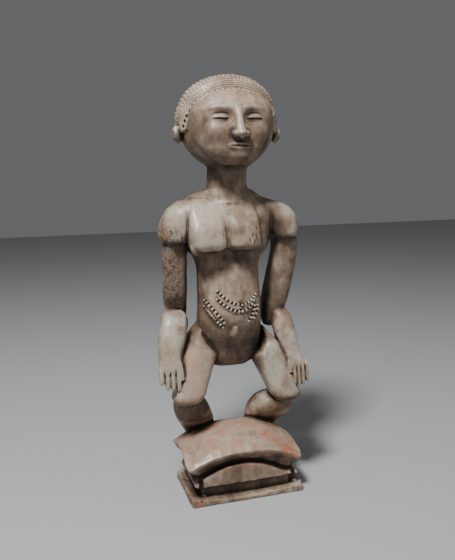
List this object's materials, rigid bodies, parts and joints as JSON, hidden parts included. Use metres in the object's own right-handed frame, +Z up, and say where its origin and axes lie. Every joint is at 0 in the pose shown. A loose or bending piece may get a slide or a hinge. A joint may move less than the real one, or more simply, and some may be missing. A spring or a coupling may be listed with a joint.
{
  "type": "carved wooden figure",
  "caption": "Standing female figure with bent knees, hands at the thighs and raised scar beads on the belly, on a domed rectangular base, carved from one block of wood.",
  "frame": {"origin": "middle of the box round the whole figure, on the plane the base stands on", "axes": "+Z up, the figure faces -Y, and her right arm and leg are on the -X side"},
  "size_m": [0.2745, 0.1694, 0.7258],
  "materials": {
    "wood": "hand-cut, worn and partly polished, with dark patina in the hollows"
  },
  "bodies": {
    "root": {"figure": "wood"}
  },
  "joints": []
}
